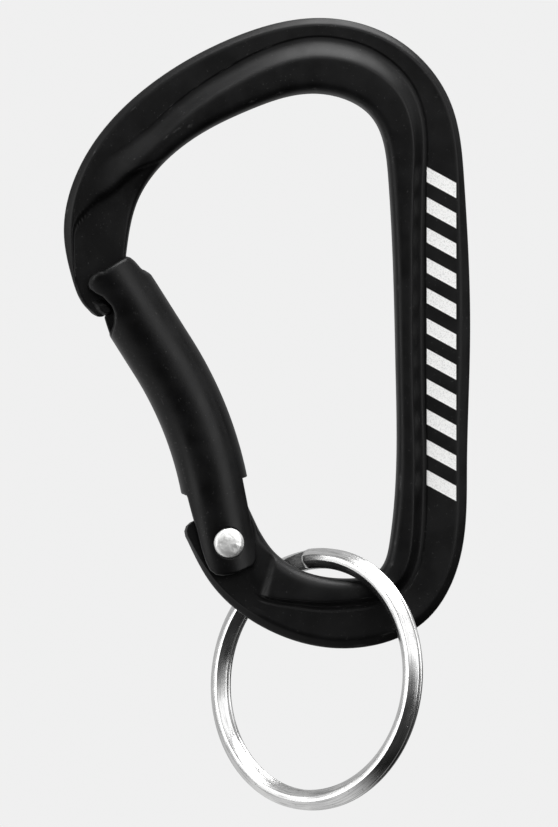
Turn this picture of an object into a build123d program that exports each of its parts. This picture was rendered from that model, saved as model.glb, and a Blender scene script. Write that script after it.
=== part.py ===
from build123d import *
import os
from math import cos, radians, sin

# Small snap carabiner with a bent keylock gate and a split key ring.
# It hangs in the XZ plane, front face towards -Y, and its origin is the highest point
# of the opening, where a cord or a hook carries it.  All sizes are in millimetres.

# ---- driving dimensions -------------------------------------------------------------
WEB_HALF = 1.25             # half thickness of the frame's recessed web and of its hinge tang
PAD_HALF = 2.2              # half thickness of the raised flange around the opening
PAD_SLOPE = 0.9             # width of the slope between the flange and the web
PAD_ROUND = 1.6             # rounding of the flange where a cord bears on it
RIM_CUT = 0.6               # bevel of the outer edge
NECK_HALF = 0.9             # half thickness of the dished neck between the gate's cheeks
BULB_HALF = 1.8             # half thickness of the nose that the gate hooks over

BARREL_IN_PLANE = 3.24      # gate barrel, half width seen from the front
BARREL_THROUGH = 2.8        # gate barrel, half width seen from the side
BARREL_LEAN = 11.1          # degrees from upright, lower straight stretch
BARREL_BEND = 35.8          # radius of the bend
BARREL_TURN = 21.2          # degrees that the bend adds to the lean
BARREL_OFFSET = 0.33        # barrel axis from the rivet axis, on the outer side
BARREL_FROM = -6.0          # the lower straight stretch, measured up from the rivet
BARREL_TO = 5.6
BARREL_TOP = 16.0           # straight stretch above the bend, cut to the head's outline
HEAD_SLOT_HALF = 1.0        # slot that straddles the neck
TAIL_SLOT_HALF = 1.35       # slot that straddles the tang
TAIL_FLOOR = 5.5            # from the rivet to the floor of the tail slot

PIVOT_X = -8.65
PIVOT_Z = -42.71
RIVET_R = 1.0
RIVET_HOLE_R = 1.04         # running fit in the tang
RIVET_HEAD_R = 1.43
RIVET_SEAT = 2.5            # half distance between the two seats of the rivet heads
RIVET_HEAD_HEIGHT = 0.65
RIVET_CROWN = 0.5           # rounding of each head

BORE_LEAN = 17.0            # spring bore, degrees from upright
BORE_OFFSET = 0.8           # bore axis from the rivet axis, on the opening's side
BORE_R = 1.05
BORE_END = 12.6             # from the rivet to the blind end of the bore
CAM_HEIGHT = 3.0            # from the rivet to the flat on top of the tang
PLUNGER_R = 1.0
PLUNGER_LENGTH = 4.2
PLUNGER_NOSE = 0.6          # rounding of the plunger's tip
SPRING_R = 0.8              # spring, mean radius
SPRING_WIRE_R = 0.15
SPRING_TURNS = 8
REST_GAP = 0.02             # plunger tip to the tang at rest

RING_R = 12.5               # key ring, outer radius
RING_DEPTH = 1.93           # key ring, radial width of the wire
RING_HALF = 1.0             # axial thickness of one turn
RING_BEVEL = 0.7            # radial width of each bevel of the wire
RING_FLAT = 0.35            # axial place where each bevel starts
RING_SEAM = 0.1             # groove between the two turns
RING_YAW = 37.5             # degrees about the vertical
RING_LEAN = 8.0             # degrees, top towards +X
RING_X = -0.4
RING_Z = -55.75

BORE_UP = (-sin(radians(BORE_LEAN)), 0, cos(radians(BORE_LEAN)))
BORE_ACROSS = (cos(radians(BORE_LEAN)), 0, sin(radians(BORE_LEAN)))
ON_FLOOR = (Align.CENTER, Align.CENTER, Align.MIN)

# ---- outlines in the XZ plane -------------------------------------------------------
OUTER = [
    (-21.2, -21.2), (-22.35, -20.25), (-23.6, -17.55), (-24.38, -13.2), (-22.55, -6.3),
    (-15.55, 1.35), (-8.8, 5.15), (0.3, 7.23),
    (7.4, 5.15), (12.35, -0.6), (13.73, -8.2), (14.3, -22.5), (14.0, -35.5), (13.3, -44.35),
    (10.15, -50.05), (2.5, -52.77), (-4.75, -51.1), (-10.45, -46.5), (-12.65, -42.45),
]
INNER = [
    (-5.85, -41.4), (-4.6, -43.3), (-2.8, -44.8), (2.2, -46.1), (5.7, -45.2), (6.65, -42.45),
    (7.2, -27.0), (6.5, -8.2), (4.75, -2.05), (0.0, 0.0), (-6.65, -1.5), (-12.25, -4.4),
    (-17.3, -10.1), (-18.45, -15.4),
]
PAD_FOOT = [
    (-24.5, -9.6), (-19.8, -6.9), (-14.4, -2.5), (-3.8, 4.45), (2.95, 4.85), (8.75, -0.1),
    (9.7, -6.4), (9.75, -15.5), (9.75, -25.0), (9.75, -34.5), (9.7, -43.4), (7.7, -47.4),
    (1.5, -48.9), (-5.15, -47.6),
]
DISH = [(-11.8, -5.0), (-16.8, -7.2), (-20.6, -9.9), (-22.3, -11.5), (-23.4, -14.2), (-23.2, -17.0)]
LOBE_UNDERSIDE = [(-22.0, -18.7), (-20.65, -19.3), (-19.8, -20.2), (-19.5, -20.9)]
BULB_TOP = [(-22.9, -18.1), (-22.0, -18.95), (-20.8, -19.5), (-20.0, -20.4), (-19.75, -21.1)]


def along(lean, distance, offset=0.0):
    """A point seen from the rivet: so far along a line leaning left, so far to its right."""
    a = radians(lean)
    x = PIVOT_X - distance * sin(a) + offset * cos(a)
    z = PIVOT_Z + distance * cos(a) + offset * sin(a)
    return (x, z)


def bore_plane(distance):
    """The plane square to the spring bore at that distance from the rivet, facing up the bore."""
    x, z = along(BORE_LEAN, distance, BORE_OFFSET)
    return Plane(origin=(x, 0, z), x_dir=(0, 1, 0), z_dir=BORE_UP)


# ---- frame --------------------------------------------------------------------------
with BuildSketch(Plane.XZ) as frame_outline:
    with BuildLine():
        outer = Spline(*OUTER)
        lobe = ThreePointArc(outer @ 1, (-12.85, -41.6), (-12.6, -40.8))
        cam_left = TangentArc(lobe @ 1, along(BORE_LEAN, CAM_HEIGHT, -2.5), tangent=lobe % 1)
        cam = Line(cam_left @ 1, along(BORE_LEAN, CAM_HEIGHT, 2.7))
        inner = Spline(*INNER)
        Line(cam @ 1, inner @ 0)
        Polyline(inner @ 1, (-18.35, -16.9), (-20.7, -20.95), outer @ 0)
    make_face()

with BuildSketch(Plane.XZ) as pad_outline:
    with BuildLine():
        foot = Spline(*PAD_FOOT)
        Polyline(
            foot @ 1, (-4.55, -45.7), (-2.5, -42.0), (-2.5, -9.0), (-19.5, -17.0), (-21.6, -12.0), foot @ 0
        )
    make_face()
    add(frame_outline.sketch_local, mode=Mode.INTERSECT)

with BuildSketch(Plane.XZ) as dish_outline:
    with BuildLine():
        dish_edge = Spline(*DISH)
        bulb_top = Spline(*BULB_TOP)
        Line(dish_edge @ 1, bulb_top @ 0)
        Polyline(bulb_top @ 1, (-16.0, -22.0), (-12.0, -9.0), dish_edge @ 0)
    make_face()

with BuildSketch(Plane.XZ) as neck_outline:
    add(dish_outline.sketch_local)
    add(frame_outline.sketch_local, mode=Mode.INTERSECT)

with BuildSketch(Plane.XZ) as bulb_outline:
    with BuildLine():
        bulb_edge = Spline(*BULB_TOP)
        Polyline(bulb_edge @ 1, (-19.75, -23.0), (-25.0, -23.0), (-25.0, -17.2), bulb_edge @ 0)
    make_face()
    add(frame_outline.sketch_local, mode=Mode.INTERSECT)

with BuildPart() as pad:
    extrude(pad_outline.sketch, amount=PAD_HALF, both=True)
    long_edges = pad.faces().filter_by(Axis.Y).edges().filter_by(lambda edge: edge.length > 50)
    inside_edges = long_edges.filter_by(lambda edge: (edge @ 0.5).X < 8)
    fillet(inside_edges, PAD_ROUND)
    slope_edges = pad.faces().filter_by(Axis.Y).edges().filter_by(lambda edge: edge.length > 90)
    chamfer(slope_edges, PAD_HALF - WEB_HALF, PAD_SLOPE)
    extrude(dish_outline.sketch, amount=2 * PAD_HALF, both=True, mode=Mode.SUBTRACT)

with BuildPart() as frame_body:
    extrude(frame_outline.sketch, amount=WEB_HALF, both=True)
    rim_edges = frame_body.faces().filter_by(Axis.Y).edges().filter_by(lambda edge: edge.length > 130)
    chamfer(rim_edges, RIM_CUT)
    extrude(dish_outline.sketch, amount=2 * PAD_HALF, both=True, mode=Mode.SUBTRACT)
    extrude(pad_outline.sketch, amount=2 * PAD_HALF, both=True, mode=Mode.SUBTRACT)
    add(pad.part)
    extrude(neck_outline.sketch, amount=NECK_HALF, both=True)
    extrude(bulb_outline.sketch, amount=BULB_HALF, both=True)
    with Locations(Plane((PIVOT_X, 0, PIVOT_Z), z_dir=(0, 1, 0))):
        Cylinder(RIVET_HOLE_R, 4 * PAD_HALF, mode=Mode.SUBTRACT)
frame_body.part.label = "frame_body"

# ---- gate ---------------------------------------------------------------------------
with BuildLine(Plane.XZ) as barrel_path:
    tail = Line(
        along(BARREL_LEAN, BARREL_FROM, -BARREL_OFFSET), along(BARREL_LEAN, BARREL_TO, -BARREL_OFFSET)
    )
    bend = JernArc(tail @ 1, tail % 1, BARREL_BEND, BARREL_TURN)
    Line(bend @ 1, bend @ 1 + BARREL_TOP * (bend % 1))

with BuildSketch(Plane.XZ) as gate_outline:
    with BuildLine():
        shoulder_step = Polyline((-12.0, -21.0), (-15.9, -16.8), (-16.35, -16.9), (-17.0, -16.4))
        head_round = ThreePointArc(shoulder_step @ 1, (-17.8, -15.75), (-18.6, -15.5))
        head_bevel = Line(head_round @ 1, (-20.6, -16.9))
        lobe_round = Spline(head_bevel @ 1, (-21.7, -17.45), (-22.1, -18.05), (-22.0, -18.7))
        underside = Line(lobe_round @ 1, (-20.56, -21.15))
        web_left = Polyline(
            underside @ 1, (-20.05, -22.8), (-21.0, -26.0), (-14.0, -38.1), (-12.95, -38.1),
            (-12.65, -38.45), (-11.75, -41.5), (-10.95, -44.3),
        )
        tail_corner = ThreePointArc(web_left @ 1, (-10.6, -45.2), (-9.8, -45.8))
        tail_end = ThreePointArc(tail_corner @ 1, (-8.1, -45.65), (-6.05, -44.7))
        Polyline(
            tail_end @ 1, (-5.92, -41.1), (-7.0, -36.6), (-6.4, -36.3), (-6.0, -34.0), shoulder_step @ 0
        )
    make_face()

with BuildSketch(Plane.XZ) as cheek_notch:
    with BuildLine():
        notch_top = Spline(*LOBE_UNDERSIDE)
        notch_low = ThreePointArc(notch_top @ 1, (-19.55, -21.9), (-20.0, -23.3))
        Polyline(notch_low @ 1, (-23.5, -23.3), (-23.5, -18.7), notch_top @ 0)
    make_face()

with BuildSketch(Plane.XZ) as head_slot:
    with BuildLine():
        Polyline(
            (-16.94, -16.56), (-20.56, -21.13), (-26.0, -21.13), (-26.0, -10.0), (-14.0, -14.0),
            (-16.94, -16.56),
        )
    make_face()

with BuildSketch(Plane(origin=(PIVOT_X, 0, PIVOT_Z), x_dir=BORE_ACROSS, z_dir=(0, -1, 0))) as tail_slot:
    with Locations((0, TAIL_FLOOR)):
        Rectangle(20, 20, align=(Align.CENTER, Align.MAX))

with BuildPart() as gate:
    with BuildSketch(Plane(origin=barrel_path.line @ 0, x_dir=(0, 1, 0), z_dir=barrel_path.line % 0)):
        Ellipse(BARREL_THROUGH, BARREL_IN_PLANE)
    sweep(path=barrel_path.line)
    extrude(gate_outline.sketch, amount=2 * BARREL_THROUGH, both=True, mode=Mode.INTERSECT)
    extrude(head_slot.sketch, amount=HEAD_SLOT_HALF, both=True, mode=Mode.SUBTRACT)
    extrude(tail_slot.sketch, amount=TAIL_SLOT_HALF, both=True, mode=Mode.SUBTRACT)
    for side in (-1, 1):
        with BuildSketch(Plane.XZ.offset(side * HEAD_SLOT_HALF)):
            add(cheek_notch.sketch_local)
        extrude(amount=side * 2 * BARREL_THROUGH, mode=Mode.SUBTRACT)
        with Locations(Plane((PIVOT_X, side * RIVET_SEAT, PIVOT_Z), z_dir=(0, side, 0))):
            Cylinder(RIVET_HEAD_R, BARREL_THROUGH, align=ON_FLOOR, mode=Mode.SUBTRACT)
    with Locations(Plane((PIVOT_X, 0, PIVOT_Z), z_dir=(0, 1, 0))):
        Cylinder(RIVET_R, 4 * BARREL_THROUGH, mode=Mode.SUBTRACT)
    with Locations(bore_plane(0)):
        Cylinder(BORE_R, BORE_END, align=ON_FLOOR, mode=Mode.SUBTRACT)
gate.part.label = "gate"

with BuildPart() as gate_rivet:
    with Locations(Plane((PIVOT_X, 0, PIVOT_Z), z_dir=(0, 1, 0))):
        Cylinder(RIVET_R, 2 * RIVET_SEAT)
    for side in (-1, 1):
        with Locations(Plane((PIVOT_X, side * RIVET_SEAT, PIVOT_Z), z_dir=(0, side, 0))):
            Cylinder(RIVET_HEAD_R, RIVET_HEAD_HEIGHT, align=ON_FLOOR)
    rings = gate_rivet.edges().filter_by(GeomType.CIRCLE).group_by(Axis.Y)
    fillet(rings[0] + rings[-1], RIVET_CROWN)
gate_rivet.part.label = "gate_rivet"

# ---- closing spring and its plunger ---------------------------------------------------
with BuildPart() as spring_plunger:
    with Locations(bore_plane(CAM_HEIGHT + REST_GAP)):
        Cylinder(PLUNGER_R, PLUNGER_LENGTH, align=ON_FLOOR)
    tip_edge = spring_plunger.edges().filter_by(GeomType.CIRCLE).sort_by(Axis.Z)[0]
    fillet(tip_edge, PLUNGER_NOSE)
spring_plunger.part.label = "spring_plunger"

spring_start = CAM_HEIGHT + REST_GAP + PLUNGER_LENGTH + SPRING_WIRE_R
spring_length = BORE_END - SPRING_WIRE_R - spring_start
with BuildPart() as gate_spring:
    with BuildLine() as coil:
        Helix(
            pitch=spring_length / SPRING_TURNS, height=spring_length, radius=SPRING_R,
            center=bore_plane(spring_start).origin, direction=BORE_UP,
        )
    with BuildSketch(Plane(origin=coil.line @ 0, z_dir=coil.line % 0)):
        Circle(SPRING_WIRE_R)
    sweep(path=coil.line, is_frenet=True)
gate_spring.part.label = "gate_spring"

# ---- key ring -----------------------------------------------------------------------
yaw = radians(RING_YAW)
lean = radians(RING_LEAN)
ring_centre = Vector(RING_X, 0, RING_Z)
ring_up = Vector(sin(lean), 0, cos(lean))
ring_axis = Vector(sin(yaw) * cos(lean), cos(yaw), -sin(yaw) * sin(lean))
inner_r = RING_R - RING_DEPTH
with BuildPart() as split_ring:
    with BuildSketch(Plane(origin=ring_centre, x_dir=ring_up, z_dir=ring_up.cross(ring_axis))):
        with BuildLine():
            Polyline(
                (RING_R - RING_SEAM, 0), (RING_R, RING_SEAM), (RING_R, RING_FLAT),
                (RING_R - RING_BEVEL, RING_HALF), (inner_r + RING_BEVEL, RING_HALF),
                (inner_r, RING_FLAT), (inner_r, RING_SEAM), (inner_r + RING_SEAM, 0),
            )
            mirror(about=Plane.XZ)
        make_face()
    revolve(axis=Axis(ring_centre, ring_axis))
split_ring.part.label = "split_ring"

os.makedirs("parts", exist_ok=True)
for piece in (frame_body, gate, gate_rivet, spring_plunger, gate_spring, split_ring):
    print(piece.part.label, round(piece.part.volume, 2), piece.part.is_valid, len(piece.solids()))
    export_step(piece.part, "parts/" + piece.part.label + ".step")
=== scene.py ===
from math import atan, cos, pi, radians, sin, tan

import bmesh
import bpy
import numpy as np
from mathutils import Matrix, Vector, noise


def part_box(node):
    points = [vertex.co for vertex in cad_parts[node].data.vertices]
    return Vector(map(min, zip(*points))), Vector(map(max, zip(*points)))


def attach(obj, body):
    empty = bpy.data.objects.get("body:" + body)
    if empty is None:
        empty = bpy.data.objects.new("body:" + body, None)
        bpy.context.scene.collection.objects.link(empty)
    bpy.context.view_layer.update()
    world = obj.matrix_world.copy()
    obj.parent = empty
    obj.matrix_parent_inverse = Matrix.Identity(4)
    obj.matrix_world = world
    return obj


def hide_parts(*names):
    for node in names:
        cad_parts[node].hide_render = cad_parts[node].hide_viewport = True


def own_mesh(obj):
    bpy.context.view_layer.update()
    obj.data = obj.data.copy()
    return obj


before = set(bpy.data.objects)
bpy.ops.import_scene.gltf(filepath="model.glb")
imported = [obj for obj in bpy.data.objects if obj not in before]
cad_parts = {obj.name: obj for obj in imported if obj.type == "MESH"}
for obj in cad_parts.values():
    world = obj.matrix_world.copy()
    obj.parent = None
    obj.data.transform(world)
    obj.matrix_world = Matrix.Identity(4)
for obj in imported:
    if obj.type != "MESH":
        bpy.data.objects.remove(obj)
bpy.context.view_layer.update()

# A snap carabiner with a split ring, seen from the front, which faces -Y.
# Outlines are in millimetres in the XZ plane, from the same origin as the CAD part.
MM = 0.001


# ---- curves and distances ----
def lengths(line):
    """How far along the polyline each of its points lies."""
    return np.concatenate([[0], np.cumsum(np.linalg.norm(np.diff(line, axis=0), axis=1))])


def spline(points, step=0.1):
    """A smooth curve through the points, as points that lie evenly along it."""
    knots = np.array(points, float)
    at = lengths(knots)
    count = len(knots)
    gap = np.diff(at)[:, None]
    slope = np.diff(knots, axis=0) / gap
    matrix = np.eye(count)
    turns = np.zeros_like(knots)
    for i in range(1, count - 1):
        matrix[i, i - 1:i + 2] = [gap[i - 1, 0], 2 * (gap[i - 1, 0] + gap[i, 0]), gap[i, 0]]
    turns[1:-1] = 6 * (slope[1:] - slope[:-1])
    bend = np.linalg.solve(matrix, turns)
    fine = np.linspace(0, at[-1], max(8, int(at[-1] / step) * 4))
    k = np.clip(np.searchsorted(at, fine, side="right") - 1, 0, count - 2)
    width = gap[k]
    left, right = (at[k + 1] - fine)[:, None], (fine - at[k])[:, None]
    before = knots[k] / width - bend[k] * width / 6
    after = knots[k + 1] / width - bend[k + 1] * width / 6
    curve = (bend[k] * left ** 3 + bend[k + 1] * right ** 3) / (6 * width)
    curve += before * left + after * right
    return resample(curve, step)


def resample(line, step):
    """The same polyline with its points evenly spaced."""
    at = lengths(line)
    even = np.linspace(0, at[-1], max(2, int(round(at[-1] / step)) + 1))
    return np.stack([np.interp(even, at, line[:, i]) for i in range(line.shape[1])], axis=1)


def straight(points, step=0.1):
    """The polyline through the points, with points evenly along it."""
    return resample(np.array(points, float), step)


def join(*lines):
    """Polylines end to end, without repeated points."""
    out = [lines[0]]
    for line in lines[1:]:
        out.append(line[1:] if np.linalg.norm(line[0] - out[-1][-1]) < 1e-6 else line)
    return np.concatenate(out)


def to_polyline(x, z, line):
    """Distance of each point to the polyline, and its side: 1 to the left of it, -1 to the right."""
    p = np.stack([np.ravel(x), np.ravel(z)], axis=1)
    best = np.full(len(p), 1e9)
    side = np.zeros(len(p))
    for a, b in zip(line[:-1], line[1:]):
        d = b - a
        t = np.clip(((p - a) @ d) / (d @ d), 0, 1)
        off = p - a - t[:, None] * d
        dist = np.hypot(off[:, 0], off[:, 1])
        cross = d[0] * off[:, 1] - d[1] * off[:, 0]
        closer = dist < best - 1e-9
        best = np.where(closer, dist, best)
        side = np.where(closer, cross, side)
    return best.reshape(np.shape(x)), np.sign(side).reshape(np.shape(x))


def signed(x, z, outline):
    """Signed distance to a closed outline, negative inside."""
    ring = np.vstack([outline, outline[:1]])
    dist, _ = to_polyline(x, z, ring)
    px, pz = np.ravel(x), np.ravel(z)
    inside = np.zeros(len(px), bool)
    for (x0, z0), (x1, z1) in zip(ring[:-1], ring[1:]):
        if z0 == z1:
            continue
        crosses = (z0 > pz) != (z1 > pz)
        inside ^= crosses & (px < (x1 - x0) * (pz - z0) / (z1 - z0) + x0)
    return np.where(inside.reshape(np.shape(x)), -dist, dist)


def smooth_min(a, b, blend):
    """The smaller of two values, rounded where they differ by less than the blend."""
    share = np.clip(0.5 + 0.5 * (b - a) / blend, 0, 1)
    return b * (1 - share) + a * share - blend * share * (1 - share)


def smooth_max(a, b, blend):
    return -smooth_min(-a, -b, blend)


def ease(t):
    """0 to 1 without corners."""
    t = np.clip(t, 0, 1)
    return t * t * (3 - 2 * t)


def face_outward(mesh):
    """Turns the faces of a closed mesh round if they look inwards."""
    shell = bmesh.new()
    shell.from_mesh(mesh)
    if shell.calc_volume(signed=True) < 0:
        bmesh.ops.reverse_faces(shell, faces=shell.faces)
        shell.to_mesh(mesh)
    shell.free()


def place_object(name, data):
    """A new object in the scene."""
    placed = bpy.data.objects.new(name, data)
    bpy.context.scene.collection.objects.link(placed)
    return placed


def evaluated_mesh(thing):
    """The mesh that an object has once its modifiers or its bevel are applied."""
    bpy.context.view_layer.update()
    return bpy.data.meshes.new_from_object(thing.evaluated_get(bpy.context.evaluated_depsgraph_get()))


def make_object(name, vertices, faces, body, material):
    """A mesh object from points in millimetres, smooth shaded, riding on its body."""
    mesh = bpy.data.meshes.new(name)
    mesh.from_pydata((np.array(vertices) * MM).tolist(), [], [list(map(int, f)) for f in faces])
    mesh.validate()
    face_outward(mesh)
    mesh.polygons.foreach_set("use_smooth", np.ones(len(mesh.polygons), bool))
    mesh.materials.append(material)
    piece = place_object(name, mesh)
    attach(piece, body)
    return piece


# ---- frame ----
OUTER = [
    (-21.2, -21.2), (-22.35, -20.25), (-23.6, -17.55), (-24.38, -13.2), (-22.55, -6.3),
    (-15.55, 1.35), (-8.8, 5.15), (0.3, 7.23),
    (7.4, 5.15), (12.35, -0.6), (13.73, -8.2), (14.3, -22.5), (14.0, -35.5), (13.3, -44.35),
    (10.15, -50.05), (2.5, -52.77), (-4.75, -51.1), (-10.45, -46.5), (-12.65, -42.45),
]
INNER = [
    (-5.85, -41.4), (-4.6, -43.3), (-2.8, -44.8), (2.2, -46.1), (5.7, -45.2), (6.65, -42.45),
    (7.2, -27.0), (6.5, -8.2), (4.75, -2.05), (0.0, 0.0), (-6.65, -1.5), (-12.25, -4.4),
    (-17.3, -10.1), (-18.45, -15.4),
]
NECK_SIDE = [
    (-20.95, -21.21), (-20.72, -21.2), (-20.5, -21.1), (-20.12, -20.72), (-19.29, -19.5),
    (-18.67, -17.9), (-18.4, -16.9), INNER[-1],
]
PIVOT = (-8.65, -42.71)
LOBE = [(-12.65, -42.45), (-12.9, -41.9), (-12.85, -41.3), (-12.5, -40.85), (-12.1, -40.65)]
CAM_LEFT, CAM_RIGHT = (-11.9, -40.55), (-6.95, -39.05)
DISH = [
    (-15.0, -6.4), (-16.7, -7.2), (-18.5, -8.5), (-19.3, -9.2), (-20.9, -10.1), (-22.2, -11.2),
    (-23.1, -12.3), (-23.4, -14.3), (-23.3, -17.0),
]
BULB = [
    (-23.35, -18.15), (-23.0, -19.0), (-22.6, -19.85), (-22.1, -20.5), (-21.6, -20.98), (-21.1, -21.2),
    (-20.5, -21.24), (-20.0, -21.15), (-19.62, -20.85), (-19.62, -20.45), (-20.0, -19.92), (-20.6, -19.45),
    (-21.4, -19.1), (-21.95, -18.9), (-22.3, -18.6), (-22.6, -17.9), (-22.9, -17.5), (-23.25, -17.6),
]
BULB_ROUND, BULB_FADE = 0.4, 2.2  # how far in it reaches its full height, at the right and at the left
BULB_LOW = 0.5  # its half thickness at its left edge
BULB_MIDDLE, BULB_CHANGE = -20.2, 2.2  # where its left side takes over, and over what length
BULB_VOXEL = 0.07
WEB_KEEP_OUT = 1.08  # half thickness left free under the bulb for the gate's web
KEEP_OUT_GAP, KEEP_OUT_ROUND = 0.05, 0.04

WEB_HALF = 1.25
FLANGE_HALF = 2.2
EDGE_HALF = 0.68
NECK_HALF = 0.9
BULB_HALF = 1.4
DISH_RISE = 2.2  # slope of the dish's side
DISH_FADE = 1.1  # how much of its depth the dish has lost where it runs out at the inner edge
FADE_FROM, FADE_LENGTH = -18.8, 4.2  # where it starts to lose it, and over what length
DISH_RIGHT, DISH_LOW = -4.0, -26.0  # the dish lies to the left of the first and above the second
DISH_BLEND = 0.25
DISH_ROUNDING = 0.8  # how much rounder the flange's inner edge gets where the dish cuts it
UNCUT = 9.0  # a height that no surface reaches
FLANGE_END = [(-3.6, -41.0), (-4.2, -43.2), (-4.95, -45.4), (-5.55, -47.8), (-5.9, -50.0)]
END_RISE = 1.3  # slope at the flange's end beside the hinge
END_LIFT, END_BLEND = 0.04, 0.16
HINGE_RIGHT, HINGE_TOP = 0.0, -38.0  # that end lies to the left of the first and below the second
GROOVE_DEPTH = 0.07  # the line at the foot of the flange's slope
GROOVE_WIDTH = 0.38
GROOVE_FROM, GROOVE_FADE = -16.0, 6.0  # where the groove starts, and over what length it deepens
HOLE_R, HOLE_SIDES = 1.04, 96  # the rivet's hole in the tang
EDGE_TURN = 1.3  # how far in from the inner edge the flange goes on rising
CREST_REACH = 0.16  # how far the rounding of the flange's crest reaches to either side
RIM_LEAD = 0.16  # the web starts to turn down this far before the rim's bevel
INNER_SHARE = 0.85  # share of the flange's width that belongs to its inner part

# One row for each cross-section of the forging: a point on the inner edge, the point across
# from it on the outer edge, then the widths of the flange, of its slope and of the rim's
# bevel, and how much of the flange's height is left.
SECTIONS = [
    ((-20.95, -21.21), (-21.02, -21.20), 0.10, 0.05, 0.10, 0.0),
    ((-20.56, -21.10), (-21.55, -21.00), 0.30, 0.05, 0.30, 0.0),
    ((-19.60, -19.75), (-22.00, -20.60), 0.45, 0.15, 0.45, 0.0),
    ((-18.90, -18.35), (-23.05, -18.90), 0.70, 0.30, 0.60, 0.0),
    ((-18.40, -16.90), (-23.80, -16.85), 0.60, 0.60, 0.75, 0.1),
    ((-18.45, -15.40), (-24.15, -15.20), 0.55, 0.80, 0.80, 0.3),
    ((-17.95, -12.20), (-24.30, -11.80), 0.90, 3.60, 0.80, 0.4),
    ((-16.55, -8.60), (-22.60, -6.40), 1.80, 3.00, 0.70, 0.8),
    ((-15.00, -6.75), (-20.50, -3.60), 1.65, 1.80, 0.65, 0.95),
    ((-13.40, -5.30), (-18.30, -1.00), 1.60, 1.50, 0.62, 1.0),
    ((-9.30, -2.65), (-12.90, 3.05), 2.20, 1.60, 0.62, 1.0),
    ((-4.60, -0.85), (-6.70, 5.95), 2.80, 1.75, 0.64, 1.0),
    ((-0.30, 0.00), (-0.30, 7.20), 3.30, 1.90, 0.66, 1.0),
    ((3.10, -0.80), (5.20, 6.10), 3.45, 1.75, 0.60, 1.0),
    ((5.10, -2.70), (10.60, 2.20), 3.30, 1.45, 0.52, 1.0),
    ((6.05, -5.60), (13.10, -4.00), 2.65, 1.15, 0.52, 1.0),
    ((6.45, -8.20), (13.75, -8.00), 2.20, 1.08, 0.58, 1.0),
    ((6.85, -14.00), (14.05, -13.90), 1.75, 1.08, 0.85, 1.0),
    ((7.15, -22.50), (14.30, -22.50), 1.47, 1.08, 1.02, 1.0),
    ((7.20, -30.00), (14.22, -30.00), 1.42, 1.08, 1.04, 1.0),
    ((6.95, -38.00), (13.85, -38.00), 1.66, 1.08, 0.95, 1.0),
    ((6.55, -43.00), (13.20, -44.60), 2.00, 1.05, 0.80, 0.95),
    ((5.30, -45.50), (10.30, -49.90), 1.90, 1.00, 0.85, 0.88),
    ((2.00, -46.10), (3.30, -52.75), 1.95, 0.85, 0.92, 0.88),
    ((-1.40, -45.45), (-3.20, -51.70), 2.60, 0.60, 0.90, 0.85),
    ((-3.60, -44.20), (-6.60, -49.95), 3.80, 0.45, 0.86, 0.65),
    ((-4.50, -43.35), (-8.40, -48.60), 4.20, 0.45, 0.80, 0.4),
    ((-5.70, -41.60), (-11.10, -45.60), 0.60, 0.60, 0.55, 0.0),
    ((-6.20, -40.60), (-12.30, -43.20), 0.45, 0.60, 0.35, 0.0),
    ((-6.60, -39.75), (-12.80, -41.60), 0.35, 0.60, 0.30, 0.0),
    ((-6.95, -39.05), (-11.90, -40.55), 0.25, 0.60, 0.25, 0.0),
]
STATION = 0.27  # spacing of the cross-sections along the inner edge
FINE_STATION, FINE_LENGTH = 0.08, 5.5  # the spacing beside the nose, and how far it goes on
BLUR, SHAPE_BLUR = 2.0, 1.2  # the greatest lengths over which places and shapes blend
LEAST_BLUR = 0.01
CORNER_CUTS = 2


def eased(x, xs, ys, width):
    """The values ys, given at xs, blended along x without corners."""
    taps = np.linspace(-1, 1, 9)
    weights = 1 - taps ** 2 + 0.05
    sums = sum(w * np.interp(x + t * width, xs, ys) for t, w in zip(taps, weights))
    return sums / weights.sum()


def corner_cut(points, times):
    """Rounds the polylines, one per section, by cutting a quarter off both ends of each straight."""
    for _ in range(times):
        a, b = points[:, :-1], points[:, 1:]
        cut = np.stack([0.75 * a + 0.25 * b, 0.25 * a + 0.75 * b], axis=2)
        cut = cut.reshape(len(points), -1, points.shape[2])
        points = np.concatenate([points[:, :1], cut, points[:, -1:]], axis=1)
    return points


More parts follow.
